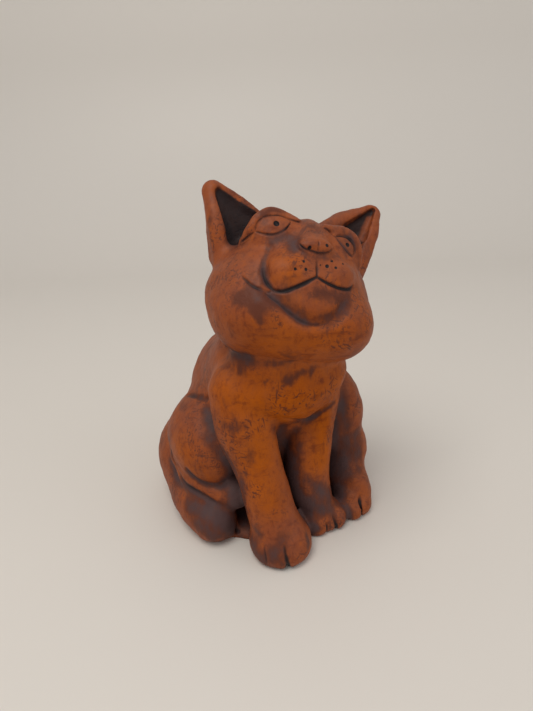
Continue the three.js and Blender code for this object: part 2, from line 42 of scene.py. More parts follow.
tiny = 1e-6     # keeps divisions safe
farOff = 1e9    # stands for a distance that isn't worked out
roughPast = 12  # millimetres from a rod past which its distance is only rough, to save time


# Shaping tools. Points come as an array of millimetres, a shape gives each point's distance to the
# clay (below zero inside), and shapes are put together by pressing one into the next.
def joined(a, b, soft):
    # both lumps, the seam between them filled as softly as soft says
    h = np.maximum(soft - np.abs(a - b), 0) / soft
    return np.minimum(a, b) - h * h * soft / 4


def carved(a, b, soft):
    # the first, with the second pressed into it
    return -joined(-a, b, soft)


def egg(centre, radii, turn=(0, 0, 0)):
    middle = np.array(centre, float)
    size = np.array(radii, float)
    axes = np.array(Euler([math.radians(t) for t in turn], "XYZ").to_matrix())

    def shape(points):
        local = (points - middle) @ axes / size
        k0 = np.sqrt((local ** 2).sum(1))
        k1 = np.sqrt(((local / size) ** 2).sum(1))
        return np.where(k1 < tiny, -size.min(), k0 * (k0 - 1) / np.maximum(k1, tiny))
    return shape


def rods(knots):
    # round rods from knot to knot, each knot x, y, z and radius
    knots = np.array(knots, float)
    low = knots[:, :3].min(0)
    high = knots[:, :3].max(0)
    middle = (low + high) / 2
    reach = np.linalg.norm(high - low) / 2 + knots[:, 3].max() + roughPast

    def shape(points):
        out = np.linalg.norm(points - middle, axis=1) - reach + roughPast
        near = out <= roughPast
        p = points[near]
        d = np.full(len(p), farOff)
        for a, b in zip(knots[:-1], knots[1:]):
            along = b[:3] - a[:3]
            t = np.clip((p - a[:3]) @ along / (along @ along), 0, 1)
            away = np.linalg.norm(p - a[:3] - t[:, None] * along, axis=1)
            d = np.minimum(d, away - (a[3] + t * (b[3] - a[3])))
        out[near] = d
        return out
    return shape


def smoothPath(knots, count):
    # a centripetal curve through the knots, which doesn't loop where they stand close
    knots = [np.array(k, float) for k in knots]
    last = len(knots) - 1
    path = []
    for n in range(count + 1):
        at = last * n / count
        i = min(int(at), last - 1)
        w = at - i
        p1, p2 = knots[i], knots[i + 1]
        p0 = knots[i - 1] if i > 0 else 2 * p1 - p2
        p3 = knots[i + 2] if i + 2 <= last else 2 * p2 - p1
        d0, d1, d2 = [max(np.linalg.norm(b - a), tiny) ** 0.5 for a, b in ((p0, p1), (p1, p2), (p2, p3))]
        t1 = ((p1 - p0) / d0 - (p2 - p0) / (d0 + d1) + (p2 - p1) / d1) * d1
        t2 = ((p2 - p1) / d1 - (p3 - p1) / (d1 + d2) + (p3 - p2) / d2) * d1
        path.append(p1 + t1 * w + (3 * (p2 - p1) - 2 * t1 - t2) * w ** 2
                    + (2 * (p1 - p2) + t1 + t2) * w ** 3)
    return path


def girth(values, count):
    # the radii along such a path, just as smooth
    last = len(values) - 1
    out = []
    for n in range(count + 1):
        at = last * n / count
        i = min(int(at), last - 1)
        w = at - i
        p0, p1, p2, p3 = values[max(i - 1, 0)], values[i], values[i + 1], values[min(i + 2, last)]
        v0, v1 = (p2 - p0) / 2, (p3 - p1) / 2
        out.append((2 * (p1 - p2) + v0 + v1) * w ** 3 + (3 * (p2 - p1) - 2 * v0 - v1) * w ** 2
                   + v0 * w + p1)
    return out


def limb(knots, steps=8):
    # a limb or roll of clay through the knots
    count = steps * (len(knots) - 1)
    path = smoothPath([k[:3] for k in knots], count)
    return rods([[*p, r] for p, r in zip(path, girth([k[3] for k in knots], count))])


def line(knots, radius, taper=0.2, steps=4):
    # a drawn line, whose ends are as thin as taper says
    count = steps * (len(knots) - 1)
    return rods([[*p, radius * (taper + (1 - taper) * math.sqrt(max(0, math.sin(math.pi * i / count))))]
                 for i, p in enumerate(smoothPath(knots, count))])


def plate(*corners):
    # a rounded plate over a triangle, its corners as x, y, z and half thickness
    a, b, c = [np.array(k[:3], float) for k in corners]
    ra, rb, rc = [k[3] for k in corners]

    def shape(points):
        ab, ac = b - a, c - a
        best = np.full(len(points), farOff)
        for p, q, rp, rq in ((a, b, ra, rb), (b, c, rb, rc), (c, a, rc, ra)):
            along = q - p
            t = np.clip((points - p) @ along / (along @ along), 0, 1)
            gap = np.linalg.norm(points - p - t[:, None] * along, axis=1)
            best = np.where(gap < best, gap, best)
            d = gap - (rp + t * (rq - rp))
            out = d if p is a else np.where(gap <= best, d, out)
        d00, d01, d11 = ab @ ab, ab @ ac, ac @ ac
        v = (points - a) @ ab
        w = (points - a) @ ac
        bottom = d00 * d11 - d01 * d01
        s = (d11 * v - d01 * w) / bottom
        t = (d00 * w - d01 * v) / bottom
        face = np.abs((points - a) @ (np.cross(ab, ac) / np.linalg.norm(np.cross(ab, ac))))
        over = (s >= 0) & (t >= 0) & (s + t <= 1)
        return np.where(over, face - ((1 - s - t) * ra + s * rb + t * rc), out)
    return shape


def union(*shapes):
    return lambda points: np.minimum.reduce([shape(points) for shape in shapes])


def blend(soft, first, *others):
    def shape(points):
        d = first(points)
        for other in others:
            d = joined(d, other(points), soft)
        return d
    return shape


def within(shape, keep, away=farOff):
    # the shape only where keep says so, to save time
    def limited(points):
        out = np.full(len(points), float(away))
        near = keep(points)
        out[near] = shape(points[near])
        return out
    return limited


# The head's own frame: x to the cat's left, y out of the face, z up the face. Angles in degrees.
head = {
    "centre": (12.5, -22.6, 171), "pitch": 30, "roll": 15, "yaw": -1,
    "faceFrom": -5,                     # y from which the face is worked out
    "scoredFrom": 5, "scoredDepth": 8,  # y from which, and depth to which, its lines reach
    "lineWidth": 0.6, "lineSoft": 0.6,
    "pupil": 1.7, "leftPupil": 0.75,    # the left one is that much of the right one
    "nostril": 0.9, "whiskerPit": 0.8,
    "pitDepth": 2.2, "pitTaper": 0.7,   # times the pit's radius
}


def headAxes():
    # the head's side, front and top, tipped back, rolled and turned
    pitch, roll, yaw = [math.radians(head[k]) for k in ("pitch", "roll", "yaw")]
    out = np.array([0, -math.cos(pitch), math.sin(pitch)])
    up = np.array([0, math.sin(pitch), math.cos(pitch)])
    side = np.array([1.0, 0, 0])
    x = side * math.cos(roll) - up * math.sin(roll)
    z = up * math.cos(roll) + side * math.sin(roll)
    turn = np.array(Matrix.Rotation(yaw, 3, "Z"))
    return np.array([turn @ x, turn @ out, turn @ z])


headTurn = headAxes()


def toHead(points):
    return (points - np.array(head["centre"])) @ headTurn.T


# Body, legs and feet in the cat's own frame: eggs have a centre, radii and a turn in degrees,
# limbs have knots of x, y, z and radius.
bodyClay = {
    "torso": blend(16,
                   egg((4.5, -14, 112), (44, 40, 40)),
                   egg((-2, 14, 76), (46, 48, 56), (-24, 0, 0)),
                   egg((2, 26, 24), (52, 46, 46))),
    "seat": egg((-2, -2, 0), (54, 52, 11)),
    "chest": egg((4, -37.5, 116), (38, 25, 21.5), (10, 0, 6)),
    "throat": egg((5, -38, 135), (36, 23, 15)),
    "rump": union(egg((-40.5, 28, 30.2), (35.2, 34, 39.5)), egg((39, 29, 28), (33, 34, 38))),
    "tail": limb([[2, 62, 54, 9], [7, 69, 32, 10], [20, 69, 14, 10], [42, 61, 10, 9.5], [58, 48, 8, 8]]),
    "haunchRight": blend(16,
                         egg((-33, 4, 75), (20, 26, 20)),
                         egg((-46, -2, 60.5), (24, 34, 29), (8, 0, 10))),
    "shinRight": limb([[-61, 2, 48, 9], [-54, -12, 36, 12], [-36, -32, 33, 11]]),
    "hindFootRight": limb([[-58, 22, 24, 13], [-60, 6, 18, 15], [-55, -14, 15, 17.5],
                           [-51.5, -29, 13, 15.5]]),
    "haunchLeft": blend(14,
                        egg((36, 4, 80), (20, 28, 24)),
                        egg((42, 6, 58), (24, 36, 28), (8, 0, -10))),
    "shinLeft": limb([[39, -16, 100, 14], [50.5, -22, 77, 14.3], [54, -22, 55, 12.2], [56, -22, 37, 14],
                      [52, -24, 20, 13]]),
    "hindFootLeft": blend(6,
                          egg((48.8, -23, 16), (14, 30, 21), (10, 0, 14)),
                          egg((43.5, -45, 6), (9.5, 15.5, 10.5)),
                          egg((52.6, -42, 6), (8.6, 15.5, 10.5))),
    "forelegRight": limb([[-27, -33, 112, 20], [-27.5, -39, 89, 18.6], [-24.4, -45, 68, 16],
                          [-22, -50, 52, 15.7], [-19, -55, 30, 16.2], [-16, -60, 14, 17]]),
    "forelegLeft": limb([[27, -27, 94, 17], [20.2, -33, 74, 16.5], [14.2, -40, 46, 15],
                         [14.3, -44, 28, 14.5], [18, -48, 12, 12]]),
    "pawRight": egg((-15.4, -61, 8), (20.6, 21, 15)),
    "pawLeft": blend(5, egg((13.5, -50, 6), (11, 13.5, 11)), egg((27, -49.5, 6), (11.5, 14, 10))),
}
# how softly each lump runs into the body that stands before it
bodySoft = {"seat": 8, "chest": 12, "throat": 9, "rump": 14, "tail": 4, "hindFootRight": 8}
# the legs: how softly the lower lumps run into the first one, and the leg into the body
legSoft = {
    "haunchRight": ({"shinRight": 5}, 6),
    "haunchLeft": ({"shinLeft": 12, "hindFootLeft": 6}, 4),
    "forelegRight": ({"pawRight": 6}, 5),
    "forelegLeft": ({"pawLeft": 6}, 3),
}

# Clefts between the toes, and at the floor a notch below each main one.
toeLines = union(
    line([[-19.3, -77.2, 19.3], [-19.8, -79.7, 15], [-19.6, -81.3, 10.5], [-18.8, -81.5, 6],
          [-18, -80, -2]], 0.9),
    line([[-30.7, -70.5, 17.9], [-31.2, -73, 13.5], [-31.3, -74.4, 8.9], [-31, -74, -2]], 0.4),
    line([[23.9, -60.3, 13.7], [24.3, -62.6, 9.2], [25.6, -63, 3.6], [25.6, -62, -2]], 0.9),
    line([[17.6, -62.2, 11.4], [18.4, -62.1, 2.9], [18.4, -61, -2]], 0.6),
    line([[49.6, -52.6, 16.4], [48.3, -54.6, 13.6], [47.2, -57.3, 8.9], [47.4, -57, -2]], 0.9),
    line([[-38.2, -36.9, 14.2], [-38.3, -37.6, 6.6], [-38.3, -37, -2]], 1.2),
    rods([[-19, -81.5, 7, 0.8], [-18.4, -78.3, -1, 2.2]]),
    rods([[25.2, -63, 6, 0.7], [25.6, -60.8, -1, 1.8]]),
    rods([[47.3, -57.4, 7, 0.8], [47.4, -55.2, -1, 2]]))
# behind the right thigh, under it, and where it meets the back
thighLines = union(
    line([[-69.5, 10, 61], [-70.4, 2, 52.5], [-69.5, -6, 43], [-65.5, -16, 37], [-58.5, -25.4, 35],
          [-51.6, -32.7, 30.7]], 1.6, 0.1),
    line([[-64.4, -19.4, 53.4], [-59.7, -22.7, 46.4], [-54, -27.3, 42.3], [-46.7, -31.9, 42.4],
          [-42.6, -32.6, 44.4]], 0.9, 0.1),
    line([[-51, 14, 90], [-47.5, 1.4, 94.2], [-43.2, -7.8, 95.6]], 0.9, 0.1))
# the chest's lower edge, where it overhangs the left foreleg
chestEdge = line([[-7.6, -54.2, 97.6], [-2.9, -52.4, 94.5], [4.2, -48.6, 89.8], [10.3, -45.6, 87.2],
                  [15.1, -45.6, 87.5], [19.4, -46.2, 88.8], [23.8, -45.9, 90.2], [28.6, -45, 91.4],
                  [34.2, -42.6, 92.4]], 1.6)
bodyCuts = ((thighLines, 3.5), (chestEdge, 2), (toeLines, 1.6))  # each with how soft its edges are

# Head, in its own frame. The left ear is folded over, so its pit is a deep fold above a plain cup.
earPits = {
    "right": plate([-46.5, 10, 48, 3], [-37.2, 8, 21.5, 4], [-23.5, 8, 34, 6]),
    "fold": plate([51.5, 8, 50.5, 2], [38, 5, 38.5, 4.2], [44, 7, 33, 4.5]),
    "cup": plate([45, 10, 42, 2.4], [37, 9, 20, 5], [27, 9, 31, 5]),
}
headClay = {
    "skull": blend(8,
                   egg((-1, 0, -5), (46, 43, 35)),
                   egg((-2, 2, -13), (49, 43, 34)),
                   egg((-22, 12, -24), (26, 31, 22)),
                   egg((22, 12, -26.8), (25, 31, 21)),
                   egg((0, 14, -29), (26, 27, 20))),
    "ears": union(blend(4,
                        plate([-50.5, 2, 50, 4.5], [-42, -6, 15, 7.5], [-20, -4, 33, 6]),
                        limb([[-41, 2, 12, 7], [-48, 6, 33, 5.8], [-50.8, 5, 49, 4.8]]),
                        limb([[-17.5, 2, 35, 4.5], [-33.5, 1, 46.5, 4.4], [-50, 4, 51.5, 4.8]])),
                  blend(4,
                        plate([52.5, 2, 50, 4.5], [43, -6, 15, 7.5], [20, -4, 33, 6]),
                        limb([[42, 2, 12, 7], [50, 6, 33, 6], [53, 5, 49, 4.8]]),
                        limb([[18, 2, 34, 5], [34.5, 1, 44.8, 5], [52, 4, 50.6, 4.6]]))),
    "earPits": union(*earPits.values()),
    "muzzle": egg((0, 27, -4), (27, 18, 17)),
    "bridge": limb([[0, 12, 21, 10], [1, 27, 20, 10.5], [1, 37, 12, 8]]),
    "eyeBulges": union(egg((-19.5, 24, 21), (14, 12.5, 12), (0, 0, 16)),
                       egg((20.5, 23, 16), (14, 12.5, 12), (0, 0, -16))),
    "chin": egg((-1, 29, -19), (23, 15.5, 14.5), (-16, 0, 0)),
    "lobes": union(egg((-12.5, 34, -3.8), (14.2, 14.5, 12.2), (-10, -12, 14)),
                   egg((12.5, 34, -2), (15, 14, 11), (-10, 4, -14))),
    "nose": blend(3,
                  egg((0, 45.6, 9.8), (9.6, 4.6, 4.3), (-28, 0, 0)),
                  egg((0.5, 41.5, 12), (7.5, 4.3, 3.7), (-28, 0, 0))),
}
# how softly the lumps and folds run into the head that stands before them
headSoft = {"ears": 6, "earPits": 2, "lidRims": 2, "chinCrease": 5, "lobeFold": 3}
faceSoft = {"muzzle": 10, "bridge": 12, "eyeBulges": 8, "chin": 5, "lobes": 2.5, "nose": 2.5}


def plainHead(points):
    d = joined(headClay["skull"](points), headClay["ears"](points), headSoft["ears"])
    d = carved(d, headClay["earPits"](points), headSoft["earPits"])
    front = points[:, 1] >= head["faceFrom"]
    p, f = points[front], d[front]
    for name, soft in faceSoft.items():
        f = joined(f, headClay[name](p), soft)
    d[front] = f
    return d


def faceDepth(places, face, farthest=62, halvings=12):
    # how far out the face is at each x, z seen from straight in front of it
    steps = np.arange(farthest, 0, -1.0)
    rows = np.array([[x, y, z] for x, z in places for y in steps])
    inside = face(rows).reshape(len(places), -1) < 0
    first = np.where(inside.any(1), inside.argmax(1), len(steps) - 1)
    low = steps[first].copy()
    high = low + 1
    for _ in range(halvings):
        mid = (low + high) / 2
        hit = face(np.array([[x, m, z] for (x, z), m in zip(places, mid)])) < 0
        low = np.where(hit, mid, low)
        high = np.where(hit, high, mid)
    return low


# Lines and folds of the face, as x, z places.
facePlaces = {
    "lidRimRight": [[-35.2, 14.5], [-32.5, 20.5], [-28.5, 26.5], [-21.5, 31], [-13.5, 30], [-7, 26.5]],
    "lidRimLeft": [[33, 8], [31.5, 15.5], [27.5, 21.8], [21.5, 25.4], [14.5, 25], [8, 24.5]],
    "upperLidRight": [[-27, 26.4], [-23.5, 28], [-19.5, 28.6], [-15.5, 28.4], [-11, 27], [-8.5, 26.2],
                      [-5.5, 26]],
    "eyeCorner": [[-30.4, 19], [-29.4, 23.6], [-26, 27]],
    "lowerLidRight": [[-30.4, 19], [-26.5, 17.2], [-21.5, 16.6], [-16, 19], [-11, 25.4]],
    "eyeTail": [[-30.5, 18.6], [-33, 16.8], [-36, 14.6]],
    "upperLidLeft": [[14.5, 19.8], [18.5, 21.8], [23, 21.4], [27, 17.8], [28.8, 13.4]],
    "browFold": [[7.4, 23.5], [9.5, 23.1], [11.5, 22.4], [13.7, 20.7], [15.4, 19.8]],
    "lowerLidLeft": [[14.5, 19.8], [18.2, 15.6], [22.4, 12.2], [26.4, 10.6], [28.8, 13.4]],
    "noseUnder": [[-9.6, 9.8], [-7, 7], [-3.5, 5.9], [0, 5.2], [4, 5.6], [7.5, 6.8], [9.6, 9.4]],
    "noseNotch": [[0.2, 12], [0, 8.6], [0, 6]],
    "philtrum": [[0, 5], [0.3, -1], [0.3, -8]],
    "mouthRight": [[0.3, -7.4], [-5.6, -11], [-11, -13.8], [-17.5, -16.4], [-21.5, -15.9]],
    "mouthLeft": [[0.3, -7.4], [6, -9.9], [14, -11.6], [21, -11], [24.5, -8.5]],
    "mouthEnd": [[-17.5, -16.5], [-21.5, -15.6], [-24.3, -12.7], [-26.2, -8.8], [-26.7, -3.9]],
    "roundLobe": [[-22.5, -14.8], [-25.2, -11.2], [-26.7, -6.6], [-26.8, -1.3], [-25.6, 4.2], [-23, 9.4]],
    "cheekLine": [[-23.5, -16.6], [-29.2, -15.3], [-32.3, -13.7], [-34.6, -11.3], [-37, -7.8]],
    "underChin": [[-25.9, -16.2], [-18.6, -22.3], [-12.4, -26.6], [-5.3, -30.4], [2.4, -31.8],
                  [9.7, -29.8], [13.9, -27.1], [18.8, -21.8]],
    "jaw": [[-23.5, -16.6], [-25.9, -17], [-18.6, -22.3], [-12.4, -26.6], [-5.3, -30.4], [2.4, -31.8],
            [8, -30.4]],
}


def drawn(name, lift, radius, taper=0.6, steps=5, face=plainHead):
    # a line along the face, its middle lifted off it
    places = facePlaces[name]
    depths = faceDepth(places, face)
    return line([[x, y + lift, z] for (x, z), y in zip(places, depths)], radius, taper, steps)


lidRims = union(drawn("lidRimRight", -0.6, 3), drawn("lidRimLeft", 0.4, 3))
lobeFold = drawn("roundLobe", 0.5, 2)
chinCrease = drawn("underChin", 0.6, 2.6)
noseNotch = drawn("noseNotch", 0.1, 0.5, steps=3)


def shapedHead(points):
    # the head with its lids, folds and creases, before it is scored
    d = plainHead(points)
    front = (points[:, 1] >= head["scoredFrom"]) & (d <= head["scoredDepth"])
    q = points[front]
    f = joined(d[front], lidRims(q), headSoft["lidRims"])
    f = carved(f, chinCrease(q), headSoft["chinCrease"])
    d[front] = carved(f, lobeFold(q), headSoft["lobeFold"])
    return d


def cut(name, radius, taper):
    # a line scored along the shaped face
    return drawn(name, 0, radius, taper, face=shapedHead)


# the eyes' lines: how wide, times the line width, and how thin at the ends
eyeCuts = {
    "upperLidRight": (1.35, 0.5), "eyeCorner": (0.8, 0.5), "lowerLidRight": (1.1, 0.4),
    "eyeTail": (0.9, 0.3), "upperLidLeft": (1.4, 0.4), "browFold": (1.2, 0.3), "lowerLidLeft": (1, 0.4),
}
eyeLines = union(*[cut(name, head["lineWidth"] * size, taper) for name, (size, taper) in eyeCuts.items()])
mouth = union(cut("mouthRight", 1.1, 0.4), cut("mouthLeft", 1.05, 0.3), cut("mouthEnd", 0.75, 0.25))
noseFold = cut("noseUnder", 0.6, 0.6)
philtrum = cut("philtrum", 0.55, 0.6)
smile = union(cut("cheekLine", 0.6, 0.6), cut("jaw", 0.4, 0.2))

# Small marks pressed in with a stick, as x, z places on the face and a radius.
pits = {
    "pupils": [(-19.8, 23.1, head["pupil"]), (22.7, 16.5, head["pupil"] * head["leftPupil"])],
    "nostrils": [(4.9, 9.8, head["nostril"]), (-4.8, 7.6, head["nostril"])],
    "whiskers": [(x, z, head["whiskerPit"] * size) for x, z, size in (
        (-7.4, 0.1, 1), (-12.3, -4.7, 1), (-6.2, -4.1, 1.1), (8.9, 2.8, 0.9), (6, -0.8, 1.1),
        (10.9, -1.2, 0.8), (15.5, 1.7, 0.6), (2.2, -0.6, 0.4))],
}


def pitShapes():
    places = [pit for group in pits.values() for pit in group]
    depths = faceDepth([(x, z) for x, z, _ in places], plainHead)
    return union(*[rods([[x, y + 1, z, r], [x, y - head["pitDepth"] * r, z, r * head["pitTaper"]]])
                   for (x, z, r), y in zip(places, depths)])


facePits = pitShapes()
# all that is pressed into the face last, and how soft its edges are
headCuts = ((eyeLines, head["lineSoft"]), (mouth, 1.2), (philtrum, 0.9), (noseFold, 0.8),
            (smile, 1.2), (noseNotch, 0.5), (facePits, 0.4))
print("body and face shaped")


def faceLines(points):
    return np.minimum.reduce([shape(points) for shape, _ in headCuts])


def headClayAt(points, scored=True):
    p = toHead(points)
    d = shapedHead(p)
    if scored:
        front = (p[:, 1] >= head["scoredFrom"]) & (d <= head["scoredDepth"])
        q, f = p[front], d[front]
        for shape, soft in headCuts:
            f = carved(f, shape(q), soft)
        d[front] = f
    return d


def bodyClayAt(points, scored=True):
    lump = {name: shape(points) for name, shape in bodyClay.items()}
    d = lump["torso"]
    for name, soft in bodySoft.items():
        d = joined(d, lump[name], soft)
    for first, (lower, intoBody) in legSoft.items():
        leg = lump[first]
        for name, soft in lower.items():
            leg = joined(leg, lump[name], soft)
        d = joined(d, leg, intoBody)
    if scored:
        for shape, soft in bodyCuts:
            d = carved(d, shape(points), soft)
    return d


# The body is worked out up to one height and the head down to another. Past it, each counts as away.
figure = {"bodyTop": 165, "headFoot": 105, "away": 40, "neckSoft": 3, "floorSoft": 1.2}


def clayAt(points, scored=True):
    # scored: with the lines and pits that were pressed in last
    body = within(lambda p: bodyClayAt(p, scored), lambda p: p[:, 2] <= figure["bodyTop"], figure["away"])
    top = within(lambda p: headClayAt(p, scored), lambda p: p[:, 2] >= figure["headFoot"], figure["away"])
    clay = joined(body(points), top(points), figure["neckSoft"])
    return carved(clay, points[:, 2], figure["floorSoft"])


def steepest(points, step=0.15):
    # which way is out of the clay at each point, and how steeply the distance grows
    shift = np.eye(3) * step
    return np.stack([clayAt(points + s) - clayAt(points - s) for s in shift], axis=1) / (2 * step)


# The sculpture's surface, in millimetres.
surface = {
    "cell": 1.7,                        # size of the mesh over the whole cat
    "faceReach": 4.5,                   # how near a line of the face the mesh is split once
    "lineReach": 1.6,                   # and where it is split again
    "faceFrom": 20, "earsAbove": 190,   # where those lines and the ears' edges are looked for
    "earReach": 3.2, "foldReach": 1.5,  # how much nearer to ears and folds the split begins
    "weld": 1e-6,                       # metres, for the CAD copy's loose triangles
    "firstPress": (5, 0.4),             # rounds of pressing onto the clay, and how evenly
    "latePress": (4, 0.25),             # the same after each split
    "longestStep": 1.5, "leastSlope": 0.3, "lastRounds": 2,
    "lumpHeight": 0.6, "lumpSize": 24,
    "dabHeight": 0.4, "dabSize": 8,
    "footPlain": 0.5, "footFull": 4,    # lumps fade out between these heights
    "seed": 4.0,
}


def pressed(points, edges, rounds, ease):
    # moves the points onto the clay, and evens them out along it but for the last rounds
    for n in range(rounds):
        grow = steepest(points)
        size = np.maximum(np.linalg.norm(grow, axis=1), surface["leastSlope"])
        step = np.clip(clayAt(points) / size, -surface["longestStep"], surface["longestStep"])
        points = points - grow * step[:, None] / size[:, None]
        if n < rounds - surface["lastRounds"]:
            total = np.zeros_like(points)
            count = np.zeros(len(points))
            for a, b in ((edges[:, 0], edges[:, 1]), (edges[:, 1], edges[:, 0])):
                np.add.at(total, a, points[b])
                np.add.at(count, a, 1)
            slide = total / np.maximum(count, 1)[:, None] - points
            out = grow / size[:, None]
            points = points + ease * (slide - (slide * out).sum(1)[:, None] * out)
    return points


def meshPoints(mesh):
    flat = np.empty(len(mesh.vertices) * 3)
    mesh.vertices.foreach_get("co", flat)
    return flat.reshape(-1, 3) * 1000


def meshEdges(mesh):
    flat = np.empty(len(mesh.edges) * 2, dtype=np.int64)
    mesh.edges.foreach_get("vertices", flat)
    return flat.reshape(-1, 2)


def putPoints(mesh, points):
    mesh.vertices.foreach_set("co", (points / 1000).ravel())
    mesh.update()


def added(name, data):
    obj = bpy.data.objects.new(name, data)
    bpy.context.scene.collection.objects.link(obj)
    return obj


def evaluated(obj):
    # the object as its modifiers leave it, as a plain mesh
    return bpy.data.meshes.new_from_object(obj.evaluated_get(bpy.context.evaluated_depsgraph_get()))


def evenMesh(solid, cell):
    # an even mesh over the CAD node, made on a copy of it
    bm = bmesh.new()
    bm.from_mesh(solid.data)
    bm.transform(solid.matrix_world)
    bmesh.ops.remove_doubles(bm, verts=bm.verts, dist=surface["weld"])
    bmesh.ops.recalc_face_normals(bm, faces=bm.faces)
    mesh = bpy.data.meshes.new("rough clay")
    bm.to_mesh(mesh)
    bm.free()
    rough = added("rough clay", mesh)
    remesh = rough.modifiers.new("even", "REMESH")
    remesh.mode = "VOXEL"
    remesh.voxel_size = cell / 1000
    even = evaluated(rough)
    bpy.data.objects.remove(rough)
    bpy.data.meshes.remove(mesh)
    return even


def split(mesh, near, reach):
    # splits the faces where near(points) is within reach
    bm = bmesh.new()
    bm.from_mesh(mesh)
    bm.verts.ensure_lookup_table()
    close = near(meshPoints(mesh)) < reach
    edges = [e for e in bm.edges if close[e.verts[0].index] or close[e.verts[1].index]]
    bmesh.ops.subdivide_edges(bm, edges=edges, cuts=1, use_grid_fill=True)
    bm.to_mesh(mesh)
    bm.free()


def nearFaceLines(points):
    return within(faceLines, lambda p: p[:, 1] > surface["faceFrom"])(toHead(points))


def nearEars(points):
    edges = within(lambda p: np.abs(headClay["earPits"](toHead(p))),
                   lambda p: p[:, 2] > surface["earsAbove"])
    return edges(points) + surface["earReach"]


def nearCreases(points):
    folds = np.minimum(thighLines(points), chestEdge(points)) + surface["foldReach"]
    return np.minimum.reduce([nearFaceLines(points), toeLines(points), folds, nearEars(points)])


cat = evenMesh(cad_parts["cat"], surface["cell"])
putPoints(cat, pressed(meshPoints(cat), meshEdges(cat), *surface["firstPress"]))
for nearTo, reach in ((nearCreases, surface["faceReach"]), (nearFaceLines, surface["lineReach"])):
    split(cat, nearTo, reach)
    putPoints(cat, pressed(meshPoints(cat), meshEdges(cat), *surface["latePress"]))
cat.name = "cat"
print("clay surface:", len(cat.vertices), "points")


def paint(mesh, name, values):
    layer = mesh.attributes.new(name, "FLOAT", "POINT")
    layer.data.foreach_set("value", np.asarray(values, dtype=np.float32))


